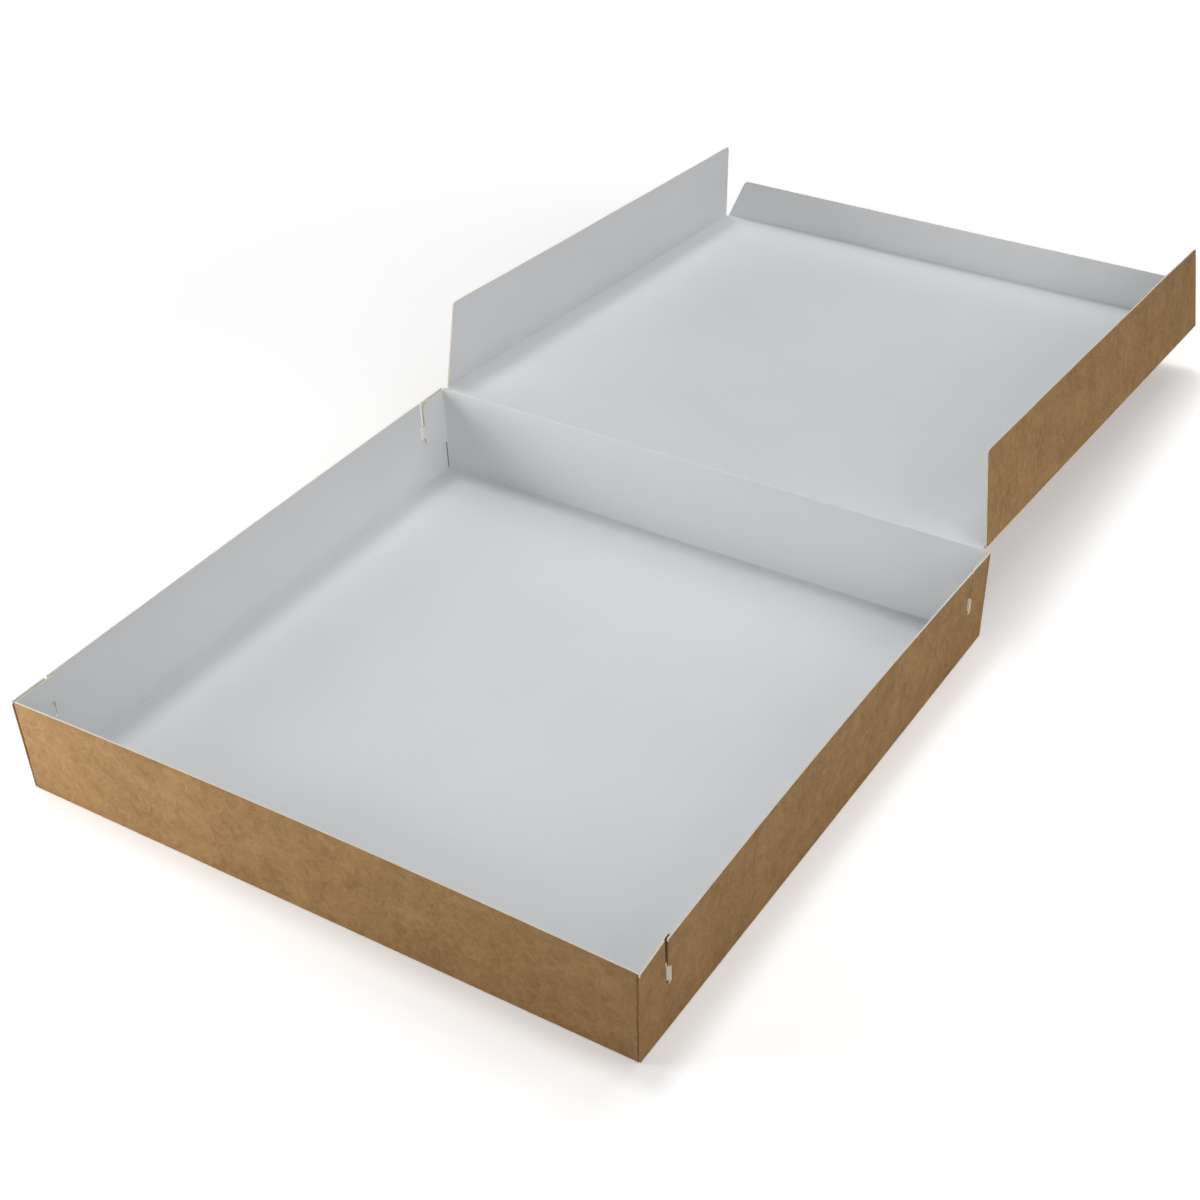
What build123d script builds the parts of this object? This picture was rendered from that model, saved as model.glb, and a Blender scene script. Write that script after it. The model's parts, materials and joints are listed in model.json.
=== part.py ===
from build123d import *
import math
import os

# Cake box folded from one sheet of kraft-lined card: an open tray with its lid laid open.
# Units are millimetres and degrees. The origin is the middle of the tray's underside,
# X runs along the front wall, Y towards the lid's hinge and Z up.

# Card
CARD = 0.8
FOLD_INSIDE = 0.4
FOLD_OUTSIDE = FOLD_INSIDE + CARD

# Tray
TRAY_WIDTH = 320.0
TRAY_DEPTH = 320.0
TRAY_HEIGHT = 50.0
CORNER_SEAM = 0.8

# How far each wall's rim stands outside its bottom fold, at the corners and at mid length
RIGHT_FLARE = 1.5
RIGHT_FLARE_MIDDLE = -0.7
LEFT_FLARE = 1.2
LEFT_FLARE_MIDDLE = 1.9
FRONT_FLARE = 1.4
FRONT_FLARE_MIDDLE = -0.8
BACK_FLARE = 0.0

# Ears of the front and back walls, folded inside the side walls. Above the hook, those of the
# front wall have a shoulder that reaches past the slot.
EAR_GAP = 0.15
EAR_BELOW_RIM = 0.8
EAR_BELOW_HOOK = 3.3
EAR_FOOT_SLANT = 8.0
EAR_TIP_CHAMFER = 3.0
SHOULDER_REACH = 7.4
SHOULDER_ABOVE_HOOK = 0.8

# Slot in the side wall for the ear's hook, open at the rim and widened at its foot
SLOT_FROM_CORNER = 18.6
SLOT_CLEARANCE = 0.5
SLOT_DEPTH = 22.5
SEAT_WIDTH = 3.4
SEAT_HEIGHT = 8.5

# Hook at the ear's tip, which leans out through the slot
HOOK_HEIGHT = 7.0
HOOK_ABOVE_SLOT_FOOT = 1.0
HOOK_ANGLE = 43.5
HOOK_PROUD = 1.2
HOOK_BARB = 2.2

# Lid and its hinge crease along the back wall's rim
LID_OPEN_DROOP = 4.2
LID_RIM_CLEARANCE = 0.3
HINGE_STRIP = 1.8
HINGE_STRIP_INSET = 0.9
HINGE_STRIP_SLANT = 0.6
LID_SIDE_CLEARANCE = 0.3
LIP_CLEARANCE = 0.4

# Side flaps and front lip of the lid
CREASE_GAP = 0.5
CREASE_ABOVE_FACE = 0.1
FLAP_FLOOR_CLEARANCE = 1.2
FLAP_END_SLANT = 4.0
FLAP_FROM_HINGE = 3.0
FLAP_FROM_LIP = 1.5
FLAP_CORNER_RADIUS = 2.0
LIP_HEIGHT = 25.0
LIP_END_INSET = 1.2
LIP_END_SLANT = 10.6
LIP_CORNER_RADIUS = 2.0
RIGHT_FLAP_FOLD = 98.0
LEFT_FLAP_FOLD = 92.0
LIP_FOLD = 90.0

# Sizes that follow from the ones above
HALF_WIDTH = TRAY_WIDTH / 2
HALF_DEPTH = TRAY_DEPTH / 2
CREASE_OFFSET = CARD / 2 + CREASE_ABOVE_FACE
HINGE_GAP = CARD / 2 + LID_RIM_CLEARANCE
HINGE_Y = HALF_DEPTH - CARD / 2
HINGE_Z = TRAY_HEIGHT + HINGE_GAP
EAR_TOP = TRAY_HEIGHT - EAR_BELOW_RIM
SLOT_WIDTH = CARD + SLOT_CLEARANCE
SLOT_FOOT_Z = TRAY_HEIGHT - SLOT_DEPTH
HOOK_Z = SLOT_FOOT_Z + HOOK_ABOVE_SLOT_FOOT
EAR_TIP_Z = HOOK_Z - EAR_BELOW_HOOK
EAR_ROOT_Z = EAR_TIP_Z - EAR_FOOT_SLANT
SHOULDER_Z = HOOK_Z + HOOK_HEIGHT + SHOULDER_ABOVE_HOOK
EAR_FACE_DEPTH = CARD + EAR_GAP
EAR_INSIDE = HALF_WIDTH + min(RIGHT_FLARE, LEFT_FLARE) - EAR_FACE_DEPTH - CARD
WALL_INSIDE = HALF_WIDTH + min(RIGHT_FLARE_MIDDLE, LEFT_FLARE_MIDDLE) - CARD
FLAP_CREASE_X = min(EAR_INSIDE, WALL_INSIDE) - LID_SIDE_CLEARANCE - CREASE_OFFSET - CARD / 2
FRONT_REACH = HINGE_Y + HALF_DEPTH + min(FRONT_FLARE, FRONT_FLARE_MIDDLE) - CARD - LIP_CLEARANCE
LIP_OUTSIDE = math.sqrt(FRONT_REACH**2 - (LIP_HEIGHT + CREASE_OFFSET) ** 2)
LIP_LEAN = LIP_HEIGHT * math.cos(math.radians(LIP_FOLD))
LIP_CREASE_V = LIP_OUTSIDE - LIP_LEAN - CREASE_OFFSET - CARD / 2
FLAP_HEIGHT = TRAY_HEIGHT - CARD - FLAP_FLOOR_CLEARANCE
EAR_TIP_Y = HALF_DEPTH - SLOT_FROM_CORNER
EAR_TIP_SHARE = EAR_TIP_Y / HALF_DEPTH
LARGEST_FLARE = max(abs(f) for f in (RIGHT_FLARE, RIGHT_FLARE_MIDDLE, LEFT_FLARE, LEFT_FLARE_MIDDLE))
SLOT_BLOCK = 2 * (LARGEST_FLARE + 2 * CARD)


def rise(z):
    """Share of a wall's flare reached at height z: none at the bottom fold, all at the rim."""
    return (z - FOLD_OUTSIDE) / (TRAY_HEIGHT - FOLD_OUTSIDE)


def bowed(start, end, sag):
    """Edge from start to end whose middle stands sag to the left of the chord."""
    start = Vector(*start)
    end = Vector(*end)
    if sag == 0:
        return Edge.make_line(start, end)
    chord = end - start
    across = Vector(-chord.Y, chord.X, 0).normalized()
    return Edge.make_three_point_arc(start, (start + end) / 2 + across * sag, end)


def side_flares(side):
    """Corner and middle flare of the right (+1) or left (-1) wall."""
    if side > 0:
        return RIGHT_FLARE, RIGHT_FLARE_MIDDLE
    return LEFT_FLARE, LEFT_FLARE_MIDDLE


def side_outside(side, from_middle, z):
    """Distance of a side wall's outer face from the middle plane, at a share of the half depth."""
    corner, middle = side_flares(side)
    return HALF_WIDTH + rise(z) * (middle + (corner - middle) * from_middle**2)


def end_flares(end):
    """Corner and middle flare of the back (+1) or front (-1) wall."""
    if end > 0:
        return BACK_FLARE, BACK_FLARE
    return FRONT_FLARE, FRONT_FLARE_MIDDLE


def end_outside(end, z):
    """Distance of the front or back wall's outer face from the middle plane, at its corners."""
    return HALF_DEPTH + rise(z) * end_flares(end)[0]


def closed_loft(low_edges, high_edges):
    """Solid ruled between two closed plan outlines that have matching edges."""
    return Solid.make_loft([Wire(low_edges), Wire(high_edges)], ruled=True)


def side_outline(side, z):
    """Plan outline of a side wall at height z."""
    corner, middle = side_flares(side)
    sag = side * rise(z) * (corner - middle)
    x_out = side * side_outside(side, 1.0, z)
    x_in = x_out - side * CARD
    y_front = -end_outside(-1, z)
    y_back = end_outside(1, z)
    return [
        bowed((x_out, y_front, z), (x_out, y_back, z), sag),
        Edge.make_line((x_out, y_back, z), (x_in, y_back, z)),
        bowed((x_in, y_back, z), (x_in, y_front, z), -sag),
        Edge.make_line((x_in, y_front, z), (x_out, y_front, z)),
    ]


def slot_cutter(side, end):
    """Slot from the rim down and its wider seat, as a block through a side wall."""
    entry_height = SLOT_DEPTH + CARD
    entry = Box(SLOT_BLOCK, SLOT_WIDTH, entry_height)
    seat = Box(SLOT_BLOCK, SEAT_WIDTH, SEAT_HEIGHT)
    entry_y = end * (EAR_TIP_Y - SLOT_WIDTH / 2)
    seat_y = end * (EAR_TIP_Y - SEAT_WIDTH / 2)
    entry = Pos(side * HALF_WIDTH, entry_y, SLOT_FOOT_Z + entry_height / 2) * entry
    seat = Pos(side * HALF_WIDTH, seat_y, SLOT_FOOT_Z + SEAT_HEIGHT / 2) * seat
    return entry + seat


def side_wall(side):
    """Right or left wall with the two slots for the hooks."""
    wall = closed_loft(side_outline(side, FOLD_OUTSIDE), side_outline(side, TRAY_HEIGHT))
    wall = Part() + wall
    for end in (-1, 1):
        wall -= slot_cutter(side, end)
    return wall


def end_wall_outline(end, z):
    """Plan outline of the front or back wall below its ears."""
    corner, middle = end_flares(end)
    sag = end * rise(z) * (corner - middle)
    y_out = end * end_outside(end, z)
    y_in = y_out - end * CARD
    right = side_outside(1, 1.0, z) - CARD - CORNER_SEAM
    left = -(side_outside(-1, 1.0, z) - CARD - CORNER_SEAM)
    return [
        bowed((left, y_out, z), (right, y_out, z), -sag),
        Edge.make_line((right, y_out, z), (right, y_in, z)),
        bowed((right, y_in, z), (left, y_in, z), sag),
        Edge.make_line((left, y_in, z), (left, y_out, z)),
    ]


def ear_end_y(end):
    """Distance of an ear's upper end from the middle plane."""
    if end < 0:
        return EAR_TIP_Y - SHOULDER_REACH
    return EAR_TIP_Y


def ear_x(side, from_middle, z):
    """X of an ear's outer face, close behind the side wall, at a share of the half depth."""
    return side * (side_outside(side, from_middle, z) - EAR_FACE_DEPTH)


def corner_arc(x, y, side, end, radius, z):
    """Quarter bend tangent to the end wall and the ear, given their meeting point."""
    short = radius * (1 - math.sqrt(0.5))
    wall_point = (x - side * radius, y, z)
    middle_point = (x - side * short, y - end * short, z)
    ear_point = (x, y - end * radius, z)
    return wall_point, middle_point, ear_point


def eared_outline(end, z):
    """Plan outline of the front or back wall with both ears folded in behind the side walls."""
    corner, middle = end_flares(end)
    sag = end * rise(z) * (corner - middle)
    outer = {}
    inner = {}
    tips = {}
    for side in (-1, 1):
        root_x = ear_x(side, 1.0, z)
        tip_x = ear_x(side, ear_end_y(end) / HALF_DEPTH, z)
        face_y = end * end_outside(end, z)
        tip_y = end * ear_end_y(end)
        outer[side] = corner_arc(root_x, face_y, side, end, FOLD_OUTSIDE, z)
        x_in = root_x - side * CARD
        y_in = face_y - end * CARD
        inner[side] = corner_arc(x_in, y_in, side, end, FOLD_INSIDE, z)
        tips[side] = ((tip_x, tip_y, z), (tip_x - side * CARD, tip_y, z))
    return [
        Edge.make_line(tips[-1][0], outer[-1][2]),
        Edge.make_three_point_arc(outer[-1][2], outer[-1][1], outer[-1][0]),
        bowed(outer[-1][0], outer[1][0], -sag),
        Edge.make_three_point_arc(outer[1][0], outer[1][1], outer[1][2]),
        Edge.make_line(outer[1][2], tips[1][0]),
        Edge.make_line(tips[1][0], tips[1][1]),
        Edge.make_line(tips[1][1], inner[1][2]),
        Edge.make_three_point_arc(inner[1][2], inner[1][1], inner[1][0]),
        bowed(inner[1][0], inner[-1][0], sag),
        Edge.make_three_point_arc(inner[-1][0], inner[-1][1], inner[-1][2]),
        Edge.make_line(inner[-1][2], tips[-1][1]),
        Edge.make_line(tips[-1][1], tips[-1][0]),
    ]


def ear_trim(end):
    """Blocks that give both ears of one wall their slanted foot, shoulder, low top and chamfer."""
    root = HALF_DEPTH - FOLD_OUTSIDE
    tip = ear_end_y(end)
    beyond = tip - CARD
    below = Polyline(
        (end * root, EAR_ROOT_Z - CARD),
        (end * root, EAR_ROOT_Z),
        (end * EAR_TIP_Y, EAR_TIP_Z),
        (end * EAR_TIP_Y, SHOULDER_Z),
        (end * beyond, SHOULDER_Z),
        (end * beyond, EAR_ROOT_Z - CARD),
        close=True,
    )
    above = Polyline(
        (end * root, EAR_TOP),
        (end * root, TRAY_HEIGHT + CARD),
        (end * beyond, TRAY_HEIGHT + CARD),
        (end * beyond, EAR_TOP - EAR_TIP_CHAMFER - CARD),
        (end * (tip + EAR_TIP_CHAMFER), EAR_TOP),
        close=True,
    )
    blocks = Part()
    for outline in (below, above):
        face = Plane.YZ * make_face(outline)
        blocks += extrude(face, amount=TRAY_WIDTH, both=True)
    return blocks


def hook(side, end):
    """Hook at an ear's tip: a tongue that leans out through the slot, with a barb below."""
    middle_z = HOOK_Z + HOOK_HEIGHT / 2
    lean = math.radians(HOOK_ANGLE)
    out = Vector(side * math.sin(lean), -end * math.cos(lean), 0)
    start_x = ear_x(side, EAR_TIP_SHARE, middle_z) - side * CARD / 2
    start_y = end * (EAR_TIP_Y + CARD / 2)
    to_outer_face = (EAR_FACE_DEPTH + CARD) / math.sin(lean)
    length = (EAR_FACE_DEPTH + CARD / 2 + HOOK_PROUD) / math.sin(lean)
    plane = Plane(origin=(start_x, start_y, 0), x_dir=out, z_dir=out.cross(Vector(0, 0, 1)))
    outline = Polyline(
        (0, HOOK_Z),
        (to_outer_face, HOOK_Z),
        (to_outer_face, HOOK_Z - HOOK_BARB),
        (length, HOOK_Z),
        (length, HOOK_Z + HOOK_HEIGHT - CARD),
        (length - CARD, HOOK_Z + HOOK_HEIGHT),
        (0, HOOK_Z + HOOK_HEIGHT),
        close=True,
    )
    return extrude(plane * make_face(outline), amount=CARD / 2, both=True)


def end_wall(end):
    """Front or back wall, with its two ears and their hooks."""
    lower = closed_loft(end_wall_outline(end, FOLD_OUTSIDE), end_wall_outline(end, EAR_ROOT_Z))
    upper = closed_loft(eared_outline(end, EAR_ROOT_Z), eared_outline(end, TRAY_HEIGHT))
    wall = Part() + upper
    wall -= ear_trim(end)
    wall += lower
    for side in (-1, 1):
        wall += hook(side, end)
    return wall


def bottom_fold(half_span, half_length):
    """Rounded fold from the floor to the wall on the +X side, half_span from the middle."""
    centre = half_span - FOLD_OUTSIDE
    ring = Circle(FOLD_OUTSIDE) - Circle(FOLD_INSIDE)
    quarter = ring & Pos(FOLD_OUTSIDE / 2, -FOLD_OUTSIDE / 2) * Rectangle(FOLD_OUTSIDE, FOLD_OUTSIDE)
    face = Plane.XZ * (Pos(centre, FOLD_OUTSIDE) * quarter)
    return extrude(face, amount=half_length - FOLD_OUTSIDE, both=True)


def tray():
    """Floor, four walls and four locked corners, all one folded sheet."""
    floor_size = (TRAY_WIDTH - 2 * FOLD_OUTSIDE, TRAY_DEPTH - 2 * FOLD_OUTSIDE)
    body = Pos(0, 0, CARD / 2) * Box(*floor_size, CARD)
    side_fold = bottom_fold(HALF_WIDTH, HALF_DEPTH)
    end_fold = bottom_fold(HALF_DEPTH, HALF_WIDTH)
    body += side_fold + Rot(0, 0, 180) * side_fold
    body += Rot(0, 0, 90) * end_fold + Rot(0, 0, -90) * end_fold
    for side in (-1, 1):
        body += side_wall(side)
    for end in (-1, 1):
        body += end_wall(end)
    return body


def plate(outline):
    """Flat piece of card with the given outline, about the plane Z = 0."""
    return extrude(make_face(outline), amount=CARD / 2, both=True)


def rounded_plate(outline, radius, free_way):
    """Flat piece of card whose two corners furthest along free_way are rounded."""
    face = make_face(outline)
    return extrude(fillet(face.vertices().group_by(free_way)[-1], radius), amount=CARD / 2, both=True)


def lid_panel_flat():
    """Lid panel lying level, with its hinge crease on the X axis and Y away from the tray."""
    edge = FLAP_CREASE_X - CREASE_GAP
    far = LIP_CREASE_V - CREASE_GAP
    strip = HINGE_GAP + HINGE_STRIP
    wide = HALF_WIDTH + min(RIGHT_FLARE, LEFT_FLARE) - HINGE_STRIP_INSET
    outline = Polyline(
        (-wide, HINGE_GAP),
        (wide, HINGE_GAP),
        (wide, strip - HINGE_STRIP_SLANT),
        (edge, strip),
        (edge, far - FLAP_FROM_LIP),
        (edge - LIP_END_INSET, far),
        (-edge + LIP_END_INSET, far),
        (-edge, far - FLAP_FROM_LIP),
        (-edge, strip),
        (-wide, strip - HINGE_STRIP_SLANT),
        close=True,
    )
    return plate(outline)


def side_flap_flat():
    """Right flap lying level beside the lid panel."""
    base = FLAP_CREASE_X + CREASE_GAP
    top = FLAP_CREASE_X + FLAP_HEIGHT
    near = FLAP_FROM_HINGE
    far = LIP_CREASE_V - FLAP_FROM_LIP
    outline = Polyline(
        (base, near),
        (top, near + FLAP_END_SLANT),
        (top, far - FLAP_END_SLANT),
        (base, far),
        close=True,
    )
    return rounded_plate(outline, FLAP_CORNER_RADIUS, Axis.X)


def lip_flat():
    """Front lip lying level beyond the lid panel, with its ends cut back."""
    base = FLAP_CREASE_X - LIP_END_INSET
    top = base - LIP_END_SLANT
    near = LIP_CREASE_V + CREASE_GAP
    far = LIP_CREASE_V + LIP_HEIGHT
    outline = Polyline((-base, near), (base, near), (top, far), (-top, far), close=True)
    return rounded_plate(outline, LIP_CORNER_RADIUS, Axis.Y)


def fold_up(piece, point, direction, angle):
    """Turn a flat piece about a crease through point by angle."""
    return piece.rotate(Axis(point, direction), angle)


def place_lid(piece):
    """Move a piece from the level lid's frame to the open lid at the back wall's rim."""
    drooped = piece.rotate(Axis.X, -LID_OPEN_DROOP)
    return Pos(0, HINGE_Y, HINGE_Z) * drooped


def lid_pieces():
    """Lid panel, two side flaps and front lip in their open places."""
    flap = side_flap_flat()
    right_crease = (FLAP_CREASE_X, 0, CREASE_OFFSET)
    left_crease = (-FLAP_CREASE_X, 0, CREASE_OFFSET)
    lip_crease = (0, LIP_CREASE_V, CREASE_OFFSET)
    right = fold_up(flap, right_crease, (0, -1, 0), RIGHT_FLAP_FOLD)
    left = fold_up(mirror(flap, about=Plane.YZ), left_crease, (0, 1, 0), LEFT_FLAP_FOLD)
    lip = fold_up(lip_flat(), lip_crease, (1, 0, 0), LIP_FOLD)
    return {
        "lid_panel": place_lid(lid_panel_flat()),
        "lid_flap_right": place_lid(right),
        "lid_flap_left": place_lid(left),
        "lid_front_lip": place_lid(lip),
    }


def main():
    """Write one file for each piece."""
    os.makedirs("parts", exist_ok=True)
    pieces = {"tray": tray()}
    pieces.update(lid_pieces())
    for name, piece in pieces.items():
        export_step(piece, f"parts/{name}.step")


if __name__ == "__main__":
    main()
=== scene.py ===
"""Cake box of kraft-lined card, open, with its lid laid back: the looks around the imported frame."""

import json
import logging
import math
from dataclasses import dataclass, field
from enum import Enum
from typing import Callable, Sequence, Union

import bmesh
import bpy
import numpy as np
from bpy.types import Material, Mesh, Node, NodeSocket, NodeTree, Object
from mathutils import Matrix, Vector


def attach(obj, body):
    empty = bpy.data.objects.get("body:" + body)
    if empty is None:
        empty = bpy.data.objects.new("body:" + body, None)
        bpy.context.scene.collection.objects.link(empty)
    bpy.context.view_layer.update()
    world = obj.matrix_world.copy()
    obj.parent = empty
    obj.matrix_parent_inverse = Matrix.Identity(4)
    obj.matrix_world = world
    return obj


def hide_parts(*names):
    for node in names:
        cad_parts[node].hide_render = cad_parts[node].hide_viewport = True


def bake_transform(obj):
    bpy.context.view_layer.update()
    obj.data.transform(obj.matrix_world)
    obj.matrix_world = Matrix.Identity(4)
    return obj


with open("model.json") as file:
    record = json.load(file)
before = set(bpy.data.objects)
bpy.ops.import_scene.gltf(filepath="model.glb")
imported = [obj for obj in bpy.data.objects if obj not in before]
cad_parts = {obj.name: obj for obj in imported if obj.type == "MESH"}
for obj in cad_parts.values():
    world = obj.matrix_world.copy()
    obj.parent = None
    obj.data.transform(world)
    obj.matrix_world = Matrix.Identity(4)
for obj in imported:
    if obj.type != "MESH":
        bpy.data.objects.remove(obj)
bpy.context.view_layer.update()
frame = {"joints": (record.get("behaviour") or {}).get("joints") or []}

log = logging.getLogger("cake_box")
MM = 0.001
NEAR = 0.01 * MM  # points closer than this are one
QUARTER = math.radians(90.0)
Colour = tuple[float, float, float]
Operand = Union["Value", float]
Source = Union[Node, NodeSocket]


class Side(Enum):
    """The two side walls, by the sign of their X."""

    LEFT = -1
    RIGHT = 1


class End(Enum):
    """The front and back walls, by the sign of their Y."""

    FRONT = -1
    BACK = 1


class Mark(Enum):
    """Cells of a sheet that are bare pulp, or kraft brown as painted shade, on their cut edge or all
    over their front.
    """

    BARE = "bare"
    # Painted shade: kraft on cut edges, to darken the right slots and the corner seams.
    BROWNED = "painted_shade_edge"
    # Painted shade: kraft on the inside face of a side wall's end, to darken the corner seam.
    LAPPED = "painted_shade_strip"


class Value:
    """A number socket of a node tree that takes part in plain arithmetic."""

    def __init__(self, graph: "Graph", socket: NodeSocket) -> None:
        """Wrap an output socket of a graph."""
        self.graph = graph
        self.socket = socket

    def calculate(self, operation: str, *operands: Operand) -> "Value":
        """Result of a new Math node."""
        inputs = dict(zip(("Value", "Value_001"), operands))
        return self.graph.value("ShaderNodeMath", inputs, operation=operation)

    def __add__(self, other: Operand) -> "Value":
        """Sum."""
        return self.calculate("ADD", self, other)

    def __radd__(self, other: Operand) -> "Value":
        """Sum with a plain number first."""
        return self.calculate("ADD", other, self)

    def __sub__(self, other: Operand) -> "Value":
        """Difference."""
        return self.calculate("SUBTRACT", self, other)

    def __rsub__(self, other: Operand) -> "Value":
        """Difference with a plain number first."""
        return self.calculate("SUBTRACT", other, self)

    def __mul__(self, other: Operand) -> "Value":
        """Product."""
        return self.calculate("MULTIPLY", self, other)

    def __rmul__(self, other: Operand) -> "Value":
        """Product with a plain number first."""
        return self.calculate("MULTIPLY", other, self)

    def __truediv__(self, other: Operand) -> "Value":
        """Quotient."""
        return self.calculate("DIVIDE", self, other)

    def __rtruediv__(self, other: Operand) -> "Value":
        """Quotient with a plain number first."""
        return self.calculate("DIVIDE", other, self)

    def least(self, other: Operand) -> "Value":
        """The smaller of two values."""
        return self.calculate("MINIMUM", self, other)

    def most(self, other: Operand) -> "Value":
        """The larger of two values."""
        return self.calculate("MAXIMUM", self, other)

    def sine(self) -> "Value":
        """Sine of an angle in radians."""
        return self.calculate("SINE", self)

    def cosine(self) -> "Value":
        """Cosine of an angle in radians."""
        return self.calculate("COSINE", self)

    def root(self) -> "Value":
        """Square root."""
        return self.calculate("SQRT", self)

    def ramp(self, start: float, full: float) -> "Value":
        """Smooth step from 0 at the start value to 1 at the full one, which may be the lower."""
        inputs = {"Value": self, "From Min": start, "From Max": full}
        return self.graph.value("ShaderNodeMapRange", inputs, interpolation_type="SMOOTHSTEP")


class Graph:
    """Adds nodes to a shader or geometry tree and links them."""

    def __init__(self, tree: NodeTree) -> None:
        """Start on a tree, whose present nodes are removed."""
        self.tree = tree
        tree.nodes.clear()

    def node(self, kind: str, inputs: dict[str, object] | None = None, **settings: object) -> Node:
        """Add one node.

        Args:
            kind: The node's type name.
            inputs: Plain values, or what to link, for its inputs by identifier or name.
            settings: Properties, which are set first.

        Returns:
            The new node.
        """
        made = self.tree.nodes.new(kind)
        for name, setting in settings.items():
            setattr(made, name, setting)
        for name, given in (inputs or {}).items():
            self.connect(given, self.find(made.inputs, name))
        return made

    def value(self, kind: str, inputs: dict[str, object], **settings: object) -> Value:
        """Add one node as above, and wrap its first output."""
        return Value(self, self.node(kind, inputs, **settings).outputs[0])

    def find(self, sockets: bpy.types.bpy_prop_collection, name: str) -> NodeSocket:
        """A node's socket by its identifier, or else by its name."""
        return next((socket for socket in sockets if socket.identifier == name), sockets.get(name))

    def connect(self, given: object, socket: NodeSocket) -> None:
        """Link an input, or set its value.

        Args:
            given: A wrapped value, a node for its first output, an output, or a plain value.
            socket: The input.
        """
        if isinstance(given, (Value, Node)):
            given = given.socket if isinstance(given, Value) else given.outputs[0]
        if isinstance(given, NodeSocket):
            self.tree.links.new(given, socket)
        else:
            socket.default_value = (*given, 1.0) if socket.type == "RGBA" else given

    def across(self, vector: Source) -> list[Value]:
        """X and Y of a vector."""
        split = self.node("ShaderNodeSeparateXYZ", {"Vector": vector})
        return [Value(self, split.outputs[axis]) for axis in "XY"]

    def blend(self, amount: Operand, low: object, high: object) -> NodeSocket:
        """Colour that is the low one where the amount is 0 and the high one where it is 1."""
        ends = {"Factor_Float": amount, "A_Color": low, "B_Color": high}
        return self.find(self.node("ShaderNodeMix", ends, data_type="RGBA").outputs, "Result_Color")

    def for_camera(self, usual: Node, seen: Node) -> Node:
        """The usual shader, but the seen one where the camera looks straight at the surface."""
        inputs = {"Fac": self.node("ShaderNodeLightPath"), "Shader": usual, "Shader_001": seen}
        return self.node("ShaderNodeMixShader", inputs)


def add_object(name: str, data: bpy.types.ID) -> Object:
    """Add an object to the scene.

    Args:
        name: Its name.
        data: Its mesh, lamp or camera.

    Returns:
        The object.
    """
    made = bpy.data.objects.new(name, data)
    bpy.context.scene.collection.objects.link(made)
    return made


def as_mesh(name: str, body: bmesh.types.BMesh) -> Mesh:
    """Turn an edit mesh, which is freed, into a mesh.

    Args:
        name: Name of the mesh.
        body: The edit mesh.

    Returns:
        The mesh.
    """
    mesh = bpy.data.meshes.new(name)
    body.to_mesh(mesh)
    body.free()
    return mesh


@dataclass(frozen=True)
class Grain:
    """One scale of unevenness, with the shares that tint, gloss and relief take from it."""

    scale: float
    detail: float
    roughness: float
    distortion: float
    tint: float = 0.0
    gloss: float = 0.0
    relief: float = 0.0

    def noise(self, graph: Graph, coordinates: NodeSocket) -> Value:
        """Smooth noise.

        Args:
            graph: The material's graph.
            coordinates: The vector that it is read at.

        Returns:
            A value about one half.
        """
        names = ("Scale", "Detail", "Roughness", "Distortion")
        inputs = {name: getattr(self, name.lower()) for name in names}
        return graph.value("ShaderNodeTexNoise", {"Vector": coordinates, **inputs})


@dataclass(frozen=True)
class Finish:
    """A surface of the card: the colours that its grains run between, gloss and relief."""

    name: str
    dark: Colour
    light: Colour
    roughness: float
    grains: tuple[Grain, ...]
    specular: float = 0.35
    relief_depth: float = 0.06 * MM

    def material(self) -> Material:
        """Make the material.

        Returns:
            A new material with a Principled shader fed by the grains.
        """
        made = bpy.data.materials.new(self.name)
        made.use_nodes = True
        graph = Graph(made.node_tree)
        coordinates = graph.node("ShaderNodeTexCoord").outputs["Object"]
        shade, roughness, height = 0.5, self.roughness, 0.0
        for grain in self.grains:
            noise = grain.noise(graph, coordinates)
            shade += (noise - 0.5) * grain.tint
            roughness += (noise - 0.5) * grain.gloss
            height += noise * grain.relief
        mottled = graph.blend(shade.most(0.0).least(1.0), self.dark, self.light)
        relief = {"Strength": 1.0, "Distance": self.relief_depth, "Height": height}
        shader = graph.node("ShaderNodeBsdfPrincipled", {
            "Base Color": self.flecked(graph, coordinates, mottled),
            "Roughness": roughness,
            "Specular IOR Level": self.specular,
            "Normal": graph.node("ShaderNodeBump", relief),
        })
        graph.node("ShaderNodeOutputMaterial", {"Surface": shader})
        return made

    def flecked(self, graph: Graph, coordinates: NodeSocket, mottled: NodeSocket) -> NodeSocket:
        """The grains' colour as it is, for a finish without flecks."""
        return mottled


@dataclass(frozen=True)
class KraftLiner(Finish):
    """Unbleached brown liner. A fleck has noise levels for its start and core, and a strength."""

    even: Colour = (0.320, 0.180, 0.067)
    even_share: float = 0.48
    flecks: Grain = Grain(1500.0, 2.0, 0.5, 0.0)
    pale_fleck: tuple[float, float, float] = (0.66, 0.76, 0.45)
    dark_fleck: tuple[float, float, float] = (0.36, 0.28, 0.40)

    def flecked(self, graph: Graph, coordinates: NodeSocket, mottled: NodeSocket) -> NodeSocket:
        """Even the mottle out and add pale and dark flecks.

        Args:
            graph: The material's graph.
            coordinates: Object coordinates.
            mottled: The grains' colour.

        Returns:
            The colour with its flecks.
        """
        noise = self.flecks.noise(graph, coordinates)
        colour = graph.blend(self.even_share, mottled, self.even)
        for fleck, tint in ((self.pale_fleck, self.light), (self.dark_fleck, self.dark)):
            start, core, strength = fleck
            colour = graph.blend(noise.ramp(start, core) * strength, colour, tint)
        return colour


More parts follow.
